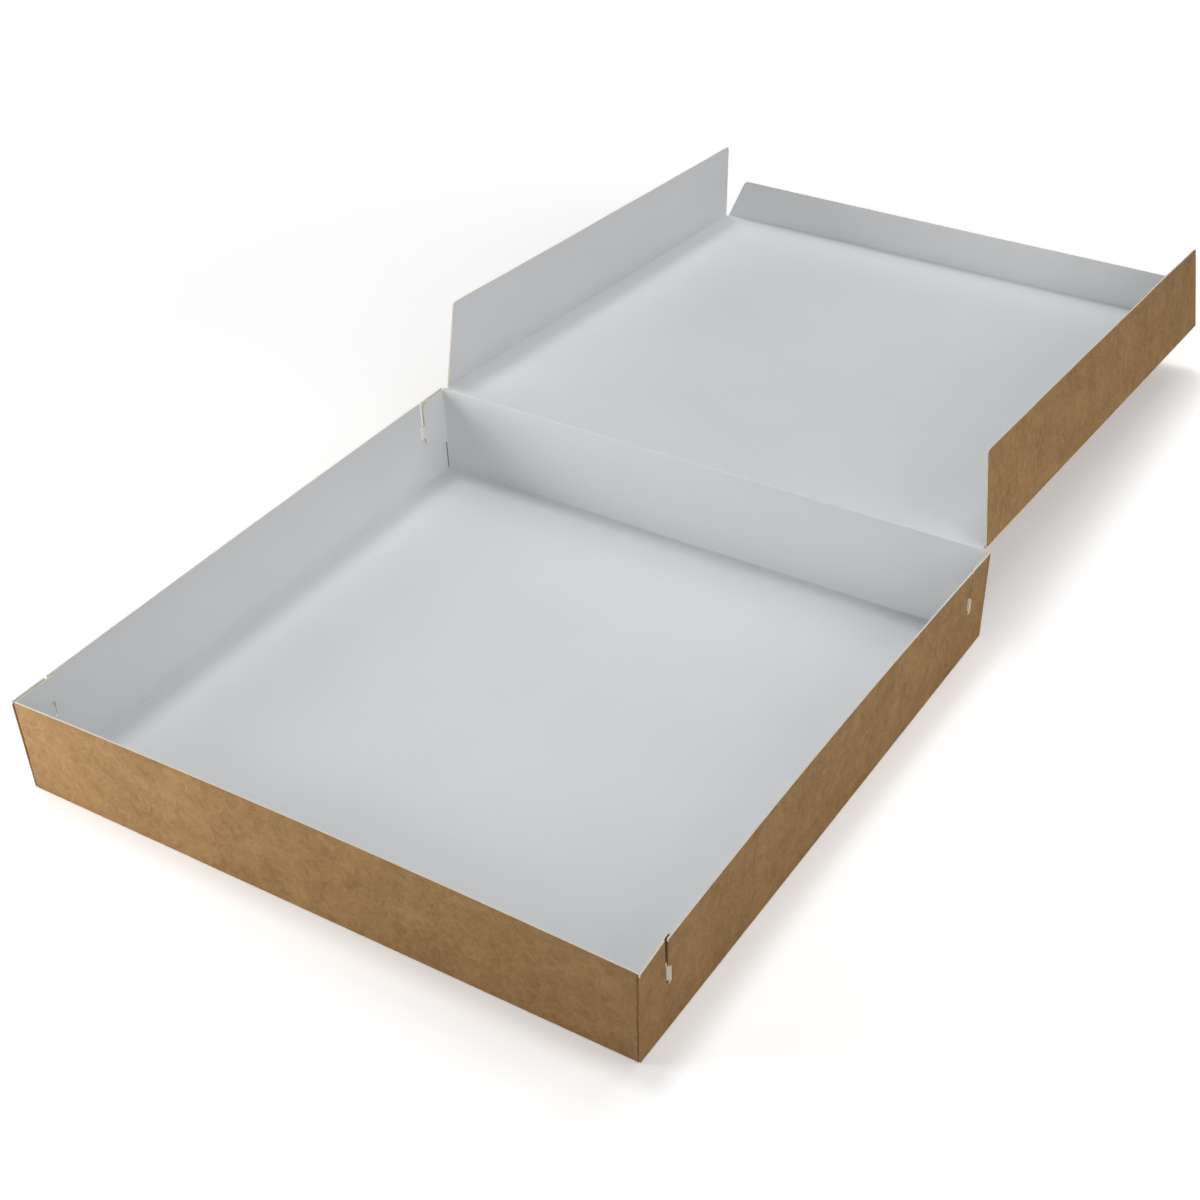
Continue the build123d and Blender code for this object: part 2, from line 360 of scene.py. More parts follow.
WHITE_LINER = Finish("white_liner", (0.71, 0.725, 0.735), (0.77, 0.775, 0.785), 0.5, (
    Grain(14.0, 3.0, 0.5, 0.5, tint=1.1, gloss=0.15),
    Grain(1100.0, 3.0, 0.6, 0.0, tint=0.5, relief=0.5),
))
KRAFT_LINER = KraftLiner("kraft_liner", (0.175, 0.087, 0.026), (0.475, 0.295, 0.128), 0.82, (
    Grain(45.0, 4.0, 0.55, 0.4, tint=1.0),
    Grain(190.0, 4.0, 0.6, 1.0, tint=1.7, gloss=0.2, relief=0.4),
    Grain(560.0, 4.0, 0.6, 1.2, tint=1.1, relief=0.6),
))
CUT_EDGE = Finish("cut_edge", (0.64, 0.56, 0.43), (0.86, 0.80, 0.69), 0.9, (
    Grain(900.0, 4.0, 0.7, 1.0, tint=1.6, gloss=0.2, relief=1.0),
    Grain(90.0, 2.0, 0.5, 0.0, tint=0.8),
))


@dataclass(frozen=True)
class Card:
    """The board: its thickness and its three finishes."""

    inside: Material
    outside: Material
    cut: Material
    thickness: float = 0.8 * MM

    @classmethod
    def make(cls) -> "Card":
        """The board, with the materials of its finishes made."""
        return cls(WHITE_LINER.material(), KRAFT_LINER.material(), CUT_EDGE.material())


class ShapeRule:
    """A geometry node tree with named inputs that shapes a sheet of card and makes it thick."""

    weld: float = 1e-7
    sharp_angle: float = math.radians(40.0)

    def __init__(self, name: str, numbers: Sequence[str] = (), counts: Sequence[str] = ()) -> None:
        """Make the tree and its inputs.

        Args:
            name: Name of the tree.
            numbers: Names of the inputs that take a number.
            counts: Names of the inputs that take a whole number.
        """
        self.tree = bpy.data.node_groups.new(name, "GeometryNodeTree")
        self.graph = Graph(self.tree)
        new_socket = self.tree.interface.new_socket
        for way in ("INPUT", "OUTPUT"):
            new_socket("Geometry", in_out=way, socket_type="NodeSocketGeometry")
        kinds = {
            "NodeSocketFloat": ("Thickness", *numbers),
            "NodeSocketInt": counts,
            "NodeSocketMaterial": ("Inside", "Outside", "Cut Edge"),
        }
        self.identifiers = {
            label: new_socket(label, in_out="INPUT", socket_type=kind).identifier
            for kind, labels in kinds.items() for label in labels
        }
        self.given = self.graph.node("NodeGroupInput")

    def numbers(self, *labels: str) -> list[Value]:
        """Some of the tree's inputs as values."""
        return [Value(self.graph, self.given.outputs[label]) for label in labels]

    def marked(self, mark: Mark) -> Node:
        """Whether a face carries a mark."""
        kind = "GeometryNodeInputNamedAttribute"
        return self.graph.node(kind, {"Name": mark.value}, data_type="BOOLEAN")

    def dressed(self, geometry: Source, faces: Source | bool, finish: str) -> Node:
        """Give some faces a finish.

        Args:
            geometry: The mesh.
            faces: Which faces, or True for all.
            finish: Name of the finish's input.

        Returns:
            The mesh with the finish set.
        """
        material = self.given.outputs[finish]
        inputs = {"Geometry": geometry, "Selection": faces, "Material": material}
        return self.graph.node("GeometryNodeSetMaterial", inputs)

    def unit_grid(self) -> tuple[Node, Value, Value]:
        """A grid one unit square, of the inputs Columns and Rows.

        Returns:
            The grid, and the shares from 0 to 1 along it and up it.
        """
        columns, rows = self.numbers("Columns", "Rows")
        counts = {"Vertices X": columns, "Vertices Y": rows}
        grid = self.graph.node("GeometryNodeMeshGrid", {"Size X": 1.0, "Size Y": 1.0, **counts})
        x, y = self.graph.across(self.graph.node("GeometryNodeInputPosition"))
        return grid, x + 0.5, y + 0.5

    def moved(self, mesh: Node, x: Operand, y: Operand, z: Operand) -> Node:
        """Mesh with each point at its worked-out place."""
        place = self.graph.node("ShaderNodeCombineXYZ", {"X": x, "Y": y, "Z": z})
        return self.graph.node("GeometryNodeSetPosition", {"Geometry": mesh, "Position": place})

    def finish(self, sheet: Source) -> None:
        """Thicken a sheet whose faces point to its inside, and end the tree.

        Args:
            sheet: The card's outside face as a surface.
        """
        graph = self.graph
        thickness = {"Offset Scale": self.numbers("Thickness")[0], "Individual": False}
        raised = graph.node("GeometryNodeExtrudeMesh", {"Mesh": sheet, **thickness}, mode="FACES")
        top, cut = raised.outputs["Top"], raised.outputs["Side"]
        # Painted shade: marked cut edges take the kraft finish, so that slots and seams look dark.
        both = {"Boolean": cut, "Boolean_001": self.marked(Mark.BROWNED)}
        painted_shade_cut = graph.node("FunctionNodeBooleanMath", both, operation="AND")
        bare, painted_shade_strip = self.marked(Mark.BARE), self.marked(Mark.LAPPED)
        front = raised
        # Painted shade: marked corner strips also take the kraft finish on their inside face.
        for faces, finish in ((top, "Inside"), (cut, "Cut Edge"), (bare, "Cut Edge"),
                              (painted_shade_cut, "Outside"), (painted_shade_strip, "Outside")):
            front = self.dressed(front, faces, finish)
        back = self.dressed(graph.node("GeometryNodeFlipFaces", {"Mesh": sheet}), True, "Outside")
        back = self.dressed(back, bare, "Cut Edge")
        joined = graph.node("GeometryNodeJoinGeometry")
        for part in (front, back):
            graph.connect(part, joined.inputs[0])
        inputs = {"Geometry": joined, "Distance": self.weld}
        welded = graph.node("GeometryNodeMergeByDistance", inputs)
        real = graph.node("GeometryNodeRealizeInstances", {"Geometry": welded})
        graph.node("NodeGroupOutput", {"Geometry": real})

    def make(self, name: str, card: Card, place: Matrix, numbers: dict[str, float],
             start: Mesh | None = None) -> Object:
        """Run the tree and keep the result as a plain mesh.

        Args:
            name: Name of the new piece.
            card: The board that it is made of.
            place: Matrix from the sheet's own frame to the row frame.
            numbers: Values of the named inputs.
            start: Mesh that the tree starts from, if it needs one.

        Returns:
            The new object, at the origin, with its place in its mesh.
        """
        source = add_object(name + "_rule", start or bpy.data.meshes.new(name + "_start"))
        modifier = source.modifiers.new("rule", "NODES")
        modifier.node_group = self.tree
        settings = {"Thickness": card.thickness, "Inside": card.inside, "Outside": card.outside,
                    "Cut Edge": card.cut, **numbers}
        for label, given in settings.items():
            modifier[self.identifiers[label]] = given
        graph = bpy.context.evaluated_depsgraph_get()
        mesh = bpy.data.meshes.new_from_object(source.evaluated_get(graph), depsgraph=graph)
        bpy.data.objects.remove(source)
        mesh.transform(place)
        mesh.shade_smooth()
        mesh.set_sharp_from_angle(angle=self.sharp_angle)
        mesh.name = name
        return add_object(name, mesh)


def panel_rule() -> ShapeRule:
    """Flat panel of card: slanted ends, rounded free corners, a bowed free edge, slight ripples.

    Returns:
        The tree. Its sheet has its base on the X axis, its height along Y and its inside
        towards +Z.
    """
    rule = ShapeRule("card_panel", (
        "Length", "Height", "End Slant", "Corner Radius", "Free Edge Bow", "Ripple",
        "Ripple Scale", "Seed",
    ), ("Columns", "Rows"))
    grid, along, up = rule.unit_grid()
    length, height, slant, radius = rule.numbers("Length", "Height", "End Slant", "Corner Radius")
    free_bow, depth, scale, seed = rule.numbers("Free Edge Bow", "Ripple", "Ripple Scale", "Seed")
    rise = up * up * (3.0 - 2.0 * up)
    y = rise * height
    into_corner = (y - (height - radius)).most(0.0)
    rounding = radius - (radius * radius - into_corner * into_corner).most(0.0).root()
    inset = slant * rise + rounding
    x = inset + along * (length - 2.0 * inset)
    flat = rule.graph.node("ShaderNodeCombineXYZ", {"X": x, "Y": y})
    inputs = {"Vector": flat, "W": seed, "Scale": scale, "Detail": 1.0}
    noise = rule.graph.value("ShaderNodeTexNoise", inputs, noise_dimensions="4D")
    ripple = (noise - 0.5) * depth * (rise * (2.0 - rise))
    bow = free_bow * 4.0 * along * (1.0 - along) * rise
    rule.finish(rule.moved(grid, x, y, ripple + bow))
    return rule


def fold_rule() -> ShapeRule:
    """Strip of card bent along a straight crease.

    Returns:
        The tree. The strip lies along X. Its outside face starts flat along Y, turns up about
        the crease at Y = 0 and ends straight.
    """
    rule = ShapeRule("card_fold", ("Length", "Bend Radius", "Fold Angle", "Lead"),
                     ("Columns", "Rows"))
    grid, along, up = rule.unit_grid()
    length, radius, angle, lead = rule.numbers("Length", "Bend Radius", "Fold Angle", "Lead")
    arc = radius * angle
    run = up * (arc + 2.0 * lead) - lead
    turned = (run / arc).most(0.0).least(1.0) * angle
    after = (run - arc).most(0.0)
    y = run.least(0.0) + radius * turned.sine() + after * angle.cosine()
    z = radius * (1.0 - turned.cosine()) + after * angle.sine()
    rule.finish(rule.moved(grid, (along - 0.5) * length, y, z))
    return rule


class FoldedSurface:
    """Outside face of a folded sheet, gathered from patches that share their borders."""

    def __init__(self) -> None:
        """Start with no patches."""
        self.body = bmesh.new()
        new_layer = self.body.faces.layers.int.new
        self.marks = {mark: new_layer(mark.value) for mark in Mark}

    def patch(self, points: np.ndarray, kept: Callable[[int, int], bool] = lambda i, j: True,
              mark: Callable[[int, int], Mark | None] = lambda i, j: None) -> None:
        """Add a grid of points.

        Args:
            points: Array of rows by columns by 3.
            kept: Says which cells stay, by row and column.
            mark: Says which mark a cell has, if any.
        """
        rows, columns = points.shape[:2]
        at = [[self.body.verts.new(points[i, j]) for j in range(columns)] for i in range(rows)]
        for i in range(rows - 1):
            for j in range(columns - 1):
                if kept(i, j):
                    loop = (at[i][j], at[i][j + 1], at[i + 1][j + 1], at[i + 1][j])
                    face = self.body.faces.new(loop)
                    if mark(i, j):
                        face[self.marks[mark(i, j)]] = 1

    def mesh(self, name: str) -> Mesh:
        """Join the patches, with every face turned to the inside of the box.

        Args:
            name: Name of the mesh.

        Returns:
            The joined mesh.
        """
        body = self.body
        bmesh.ops.remove_doubles(body, verts=body.verts, dist=NEAR)
        loose = [v for v in body.verts if not v.link_faces]
        bmesh.ops.delete(body, geom=loose, context="VERTS")
        bmesh.ops.recalc_face_normals(body, faces=body.faces)
        body.normal_update()
        floor = min(body.faces, key=lambda face: face.calc_center_median().length)
        if floor.normal.z < 0:
            bmesh.ops.reverse_faces(body, faces=body.faces)
        return as_mesh(name, body)


@dataclass(frozen=True)
class Corner:
    """A corner of the tray, by its two walls."""

    side: Side
    end: End

    def at(self, x: float, y: float, z: float) -> tuple[float, float, float]:
        """A point near the corner, from its distances from the middle planes."""
        return self.side.value * x, self.end.value * y, z


@dataclass
class Tray:
    """The tray: floor, four walls, four ears and four hooks, folded from one sheet.

    The rows are in mm. A wall's flares say how far its rim stands out at its corners and middle.
    """

    card: Card
    half: float = 160.0 * MM
    height: float = 50.0 * MM
    bend: float = 1.2 * MM
    bend_steps: int = 6
    spacing: float = 9.0 * MM
    corner_give: float = 10.0 * MM
    lap: float = 0.7 * MM
    seam: float = 0.5 * MM
    floor_wave: float = 0.45 * MM
    side_rows: tuple[float, ...] = (6.0, 12.0, 17.0, 22.0, 31.5, 40.0, 45.0, 48.5)
    end_rows: tuple[float, ...] = (6.0, 11.5)
    ear_gap: float = 0.15 * MM
    ear_below_rim: float = 0.8 * MM
    ear_root_z: float = 17.2 * MM
    ear_tip_z: float = 25.2 * MM
    ear_chamfer: float = 3.0 * MM
    ear_runs: tuple[float, ...] = (0.15, 0.35, 0.6, 0.8)
    slot_from_corner: float = 18.6 * MM
    slot_width: float = 1.3 * MM
    slot_foot_z: float = 27.5 * MM
    seat_width: float = 3.4 * MM
    tight_seat_width: float = 2.4 * MM
    seat_height: float = 8.5 * MM
    # Painted shade: how far before and past a right slot the cut edges are kraft.
    painted_shade_before_slot: float = 8.5 * MM
    painted_shade_past_slot: float = 5.1 * MM
    hook_z: float = 28.5 * MM
    hook_height: float = 7.0 * MM
    hook_angle: float = math.radians(43.5)
    hook_proud: float = 1.2 * MM
    hook_barb: float = 2.2 * MM
    shoulder_reach: float = 7.4 * MM
    shoulder_above_hook: float = 0.8 * MM
    corner_lean: float = 0.9 * MM
    hinge_rise: float = 0.7 * MM
    hinge_from_corner: float = 3.0 * MM
    hinge_sides: int = 24
    hinge_cuts: int = 79
    hinge_kraft_from: float = 0.3
    flares: dict[Side | End, tuple[float, float]] = field(default_factory=lambda: {
        Side.RIGHT: (1.5 * MM, -0.7 * MM),
        Side.LEFT: (1.2 * MM, 1.9 * MM),
        End.FRONT: (1.4 * MM, -0.8 * MM),
        End.BACK: (0.0, 0.0),
    })
    sheet: FoldedSurface = field(default_factory=FoldedSurface)

    def __post_init__(self) -> None:
        """Place the floor's edge, the end of a wall's firm part, the slots and the shoulders."""
        self.edge = self.half - self.bend
        self.firm = self.half - self.corner_give
        self.slot = self.half - self.slot_from_corner
        self.shoulder_z = self.hook_z + self.hook_height + self.shoulder_above_hook

    def face(self, wall: Side | End, share: float, z: float) -> float:
        """Distance of a wall's outside from the middle plane.

        Args:
            wall: Which wall.
            share: Share of the way from the wall's middle to its corner.
            z: Height.

        Returns:
            The distance.
        """
        corner, middle = self.flares[wall]
        rise = max(0.0, (z - self.bend) / (self.height - self.bend))
        return self.half + rise * (middle + (corner - middle) * share**2)

    def lean(self, corner: Corner, y: float, z: float) -> float:
        """How far a side wall leans in by its slot, which only one corner does.

        Args:
            corner: Which corner.
            y: Distance from the middle plane.
            z: Height.

        Returns:
            Distance inwards.
        """
        above = z - self.slot_foot_z
        if corner != Corner(Side.RIGHT, End.FRONT) or above < 0:
            return 0.0
        share = max(0.0, (self.half - y) / self.slot_from_corner)
        return self.corner_lean * share * above / (self.height - self.slot_foot_z)

    def ear_end(self, end: End) -> float:
        """Distance of an ear's upper end from the middle plane, past the slot on the front ones."""
        return self.slot - (self.shoulder_reach if end is End.FRONT else 0.0)

    def ear_top(self, end: End, y: float) -> float:
        """Height of an ear's top edge, with its chamfered corner."""
        chamfer = max(0.0, self.ear_chamfer - (y - self.ear_end(end)))
        return self.height - self.ear_below_rim - chamfer

    def ear_x(self, corner: Corner, y: float, z: float) -> float:
        """Distance of an ear's outside from the middle plane, close behind the side wall."""
        wall = self.face(corner.side, min(1.0, y / self.half), z) - self.lean(corner, y, z)
        return wall - self.card.thickness - self.ear_gap

    def ear_heights(self, end: End) -> list[float]:
        """Heights of the rows where ears leave an end wall, which reach the hook's cuts at its tip.

        Args:
            end: Which wall.

        Returns:
            Sorted heights.
        """
        root, tip, top = self.ear_root_z, self.ear_tip_z, self.ear_top(end, self.slot)
        at_tip = (self.hook_z, self.hook_z + self.hook_height, self.shoulder_z,
                  0.5 * (self.shoulder_z + top))
        rows = [root + (z - tip) / (top - tip) * (self.height - root) for z in at_tip]
        return sorted([root, *rows, self.height])

    def profile(self, heights: Sequence[float]) -> list[tuple[float, float]]:
        """Inset from the wall's plane and height of each row, from the floor's edge up.

        Args:
            heights: Heights above the fold.

        Returns:
            Pairs of inset and height.
        """
        turns = [QUARTER * i / self.bend_steps for i in range(self.bend_steps)]
        fold = [(self.bend * (1 - math.sin(a)), self.bend * (1 - math.cos(a))) for a in turns]
        return fold + [(0.0, z) for z in heights]

    def lines(self, cuts: Sequence[float]) -> list[float]:
        """Places along a wall, even in the middle and with one at each cut, on both sides of zero.

        Args:
            cuts: Places of the cuts on the positive side.

        Returns:
            Sorted places.
        """
        first = min(cuts)
        count = round(first / self.spacing)
        positive = [first * i / count for i in range(1, count)] + sorted(cuts)
        return [-p for p in reversed(positive)] + [0.0] + positive

    def surface(self) -> Mesh:
        """Outside face of the whole folded sheet.

        Returns:
            Its mesh.
        """
        bend_start = self.edge - self.ear_gap - self.card.thickness
        x_lines = self.lines((self.firm, bend_start, self.edge))
        widths = (self.seat_width, self.tight_seat_width, self.slot_width, 0.0)
        cuts = [self.slot - width for width in widths]
        y_lines = self.lines((*cuts, self.firm, self.edge - self.lap, self.edge))
        floor = [[(x, y, self.floor_lift(x, y)) for x in x_lines] for y in y_lines]
        self.sheet.patch(np.array(floor))
        for side in Side:
            self.side_wall(side, y_lines)
        for end in End:
            self.end_wall(end, x_lines)
        return self.sheet.mesh("tray_surface")

    def floor_lift(self, x: float, y: float) -> float:
        """Slight unevenness of the floor, none at its edges."""
        free = self.floor_wave * (1 - (x / self.edge) ** 2) * (1 - (y / self.edge) ** 2)
        return free * (1 + math.sin(19.0 * x + 6.0 * y + 1.0) * math.cos(13.0 * y - 5.0 * x))

    def stretched(self, place: float, old_end: float, new_end: float) -> float:
        """A place along a wall, where only the stretch next to the corner gives.

        Args:
            place: Place along the wall at the floor's edge.
            old_end: The wall's end at the floor.
            new_end: The wall's end at this height.

        Returns:
            The place at this height.
        """
        if abs(place) <= self.firm:
            return place
        share = (abs(place) - self.firm) / (old_end - self.firm)
        return math.copysign(self.firm + share * (new_end - self.firm), place)

    def side_wall(self, side: Side, y_lines: Sequence[float]) -> None:
        """Add a side wall with its two slots.

        Args:
            side: Which wall.
            y_lines: Places along the wall.
        """
        cuts = (self.bend, self.slot_foot_z, self.slot_foot_z + self.seat_height, self.height)
        rows = self.profile(sorted([*cuts, *(z * MM for z in self.side_rows)]))
        points = np.zeros((len(rows), len(y_lines), 3))
        for i, (inset, z) in enumerate(rows):
            for j, y in enumerate(y_lines):
                end = End.BACK if y > 0 else End.FRONT
                place = self.stretched(y, self.edge, self.face(end, 1.0, z) - inset)
                x = self.face(side, y / self.half, z) - inset
                if abs(y) > self.slot - NEAR:
                    x -= self.lean(Corner(side, end), abs(place), z)
                points[i, j] = (side.value * x, place, z)
        from_slot = [self.slot - abs(a + b) / 2 for a, b in zip(y_lines, y_lines[1:])]

        def kept(i: int, j: int) -> bool:
            """Tell the wall from its slots.

            Args:
                i: Row of the cell.
                j: Column of the cell.

            Returns:
                Whether the cell is outside the slots.
            """
            z = (rows[i][1] + rows[i + 1][1]) / 2 - self.slot_foot_z
            tight = side is Side.LEFT and y_lines[j] < 0
            seat_width = self.tight_seat_width if tight else self.seat_width
            in_entry = 0 < from_slot[j] < self.slot_width and z > 0
            return not (in_entry or 0 < from_slot[j] < seat_width and 0 < z < self.seat_height)

        def mark(i: int, j: int) -> Mark | None:
            """Say which cells look different.

            Args:
                i: Row of the cell.
                j: Column of the cell.

            Returns:
                Painted shade as kraft on the whole front of a corner end, to darken the seam, and on
                the cut edges beside a right slot.
            """
            if i >= len(rows) - 2:
                return None
            # Painted shade: a side wall's end at a corner is kraft over its whole front.
            if j in (0, len(y_lines) - 2):
                return Mark.LAPPED
            # Painted shade: kraft cut edges beside a right slot, to darken it.
            by_slot = -self.painted_shade_past_slot < from_slot[j] < self.painted_shade_before_slot
            return Mark.BROWNED if by_slot and side is Side.RIGHT else None

        self.sheet.patch(points, kept, mark)

    def end_wall(self, end: End, x_lines: Sequence[float]) -> None:
        """Add the front or back wall with its ears and hooks.

        Args:
            end: Which wall.
            x_lines: Places along the wall.
        """
        bend_start = x_lines[-2]
        ear_rows = self.ear_heights(end)
        above = [self.height + self.hinge_rise] if end is End.BACK else []
        rows = self.profile([self.bend, *(z * MM for z in self.end_rows), *ear_rows, *above])
        points = np.zeros((len(rows), len(x_lines), 3))
        for i, (inset, z) in enumerate(rows):
            for j, x in enumerate(x_lines):
                spread = self.face(Side.RIGHT if x > 0 else Side.LEFT, 1.0, z) - self.half
                if abs(x) > bend_start:
                    drawn_in = self.card.thickness + self.seam - self.bend
                    end_x = self.edge - min(1.0, z / self.bend) * drawn_in + spread
                    place = math.copysign(end_x, x)
                else:
                    place = self.stretched(x, bend_start, bend_start + spread)
                y = self.face(end, x / self.half, z) - inset
                points[i, j] = (place, end.value * y, z)
        last = len(x_lines) - 2

        def kept(i: int, j: int) -> bool:
            """Cells of the wall itself: beyond the bend there are some only below the ears."""
            return 0 < j < last or rows[i + 1][1] <= self.ear_root_z + NEAR

        # Painted shade: the cells past the bend, below the ears, get kraft cut ends to darken the
        # corner seam.
        self.sheet.patch(points, kept, lambda i, j: None if 0 < j < last else Mark.BROWNED)
        for side in Side:
            self.ear(Corner(side, end), ear_rows)

    def ear(self, corner: Corner, heights: Sequence[float]) -> None:
        """Add one ear, folded in behind the side wall, and its hook.

        Args:
            corner: Which corner.
            heights: Heights of the rows where it leaves the end wall.
        """
        straight = self.half - self.bend - self.slot
        columns = [(QUARTER * j / self.bend_steps, 0.0) for j in range(self.bend_steps + 1)]
        runs = (*self.ear_runs, 1.0 - self.ear_chamfer / straight, 1.0)
        columns += [(QUARTER, run) for run in runs]
        points = np.zeros((len(heights), len(columns), 3))
        for j, (turned, run) in enumerate(columns):
            foot = self.ear_root_z + (self.ear_tip_z - self.ear_root_z) * run
            back = self.bend * (1 - math.cos(turned))
            nominal = self.half - back - run * straight
            lowered = self.ear_top(corner.end, nominal) - self.height
            top = self.height + lowered * math.sin(turned)
            for i, z_root in enumerate(heights):
                share = (z_root - self.ear_root_z) / (self.height - self.ear_root_z)
                z = foot + share * (top - foot)
                wall = self.face(corner.end, 1.0, z)
                y = wall - back - run * (wall - self.bend - self.slot)
                x = self.ear_x(corner, y, z) - self.bend * (1 - math.sin(turned))
                points[i, j] = corner.at(x, y, z)
        self.sheet.patch(points)
        tip = points[:, -1]
        self.hook(corner, tip)
        if corner.end is End.FRONT:
            self.shoulder(corner, tip)

    def shoulder(self, corner: Corner, tip: np.ndarray) -> None:
        """Add the upper part of an ear that reaches past the slot.

        Args:
            corner: Which corner.
            tip: Points of the ear's tip, from its foot up.
        """
        heights = [p[2] for p in tip if p[2] > self.shoulder_z - NEAR]
        far, chamfer = self.ear_end(corner.end), self.ear_chamfer
        places = (self.slot, 0.5 * (self.slot + far + chamfer), far + chamfer,
                  far + 0.5 * chamfer, far)
        points = np.zeros((len(heights), len(places), 3))
        for i, height in enumerate(heights):
            up = (height - heights[0]) / (heights[-1] - heights[0])
            for j, y in enumerate(places):
                z = heights[0] + up * (self.ear_top(corner.end, y) - heights[0])
                points[i, j] = corner.at(self.ear_x(corner, y, z), y, z)
        self.sheet.patch(points)

    def hook(self, corner: Corner, tip: np.ndarray) -> None:
        """Add the tongue that leans out through the slot, and the barb below it.

        Args:
            corner: Which corner.
            tip: Points of the ear's tip, from its foot up.
        """
        low_z, high_z = self.hook_z - NEAR, self.hook_z + self.hook_height + NEAR
        root = [p for p in tip if low_z <= p[2] <= high_z]
        across, back = math.sin(self.hook_angle), math.cos(self.hook_angle)
        way = np.array(corner.at(across, -back, 0.0))
        behind = self.card.thickness + self.ear_gap
        outer = (behind + 0.5 * self.card.thickness) / across
        length = (behind + self.hook_proud) / across
        half_way = 0.5 * (outer + length)
        runs = (0.0, 0.5 * outer, outer, half_way, length)
        right = corner.side is Side.RIGHT
        self.sheet.patch(np.array([[p + way * run for run in runs] for p in root]),
                         mark=lambda i, j: Mark.BARE if j >= 1 and right else None)
        drop = np.array([0.0, 0.0, -self.hook_barb])
        top = [root[0] + way * run for run in (outer, half_way, length)]
        barb = np.array([top, [top[0] + drop, top[1] + drop * 0.5, top[2]]])
        self.sheet.patch(barb, mark=lambda i, j: Mark.BARE)

    def build(self) -> list[Object]:
        """Make the tray and the roll of card at the lid's crease.

        Returns:
            The two pieces.
        """
        rule = ShapeRule("folded_sheet")
        rule.finish(rule.given)
        body = rule.make("tray_card", self.card, Matrix(), {}, self.surface())
        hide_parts("tray")
        pieces = [body, self.hinge_roll()]
        for piece in pieces:
            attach(piece, "tray")
        return pieces

    def hinge_roll(self) -> Object:
        """Rounded card of the lid's crease: white towards the front, kraft towards the back.

        Returns:
            The piece.
        """
        radius = self.card.thickness / 2
        body = bmesh.new()
        bmesh.ops.create_cone(body, cap_ends=True, segments=self.hinge_sides, radius1=radius,
                              radius2=radius, depth=2 * (self.half - self.hinge_from_corner))
        along = [edge for edge in body.edges if edge.calc_length() > self.half]
        bmesh.ops.subdivide_edges(body, edges=along, cuts=self.hinge_cuts, use_grid_fill=True)
        centre = Vector((0.0, self.half - radius, self.height + self.hinge_rise))
        turn = Matrix.Translation(centre) @ Matrix.Rotation(QUARTER, 4, "Y")
        bmesh.ops.transform(body, matrix=turn, verts=body.verts)
        body.normal_update()
        for face in body.faces:
            on_end = abs(face.normal.x) > 0.5
            face.material_index = 2 if on_end else int(face.normal.y > self.hinge_kraft_from)
            face.smooth = not on_end
        mesh = as_mesh("hinge_crease", body)
        for finish in (self.card.inside, self.card.outside, self.card.cut):
            mesh.materials.append(finish)
        return add_object("hinge_crease", mesh)


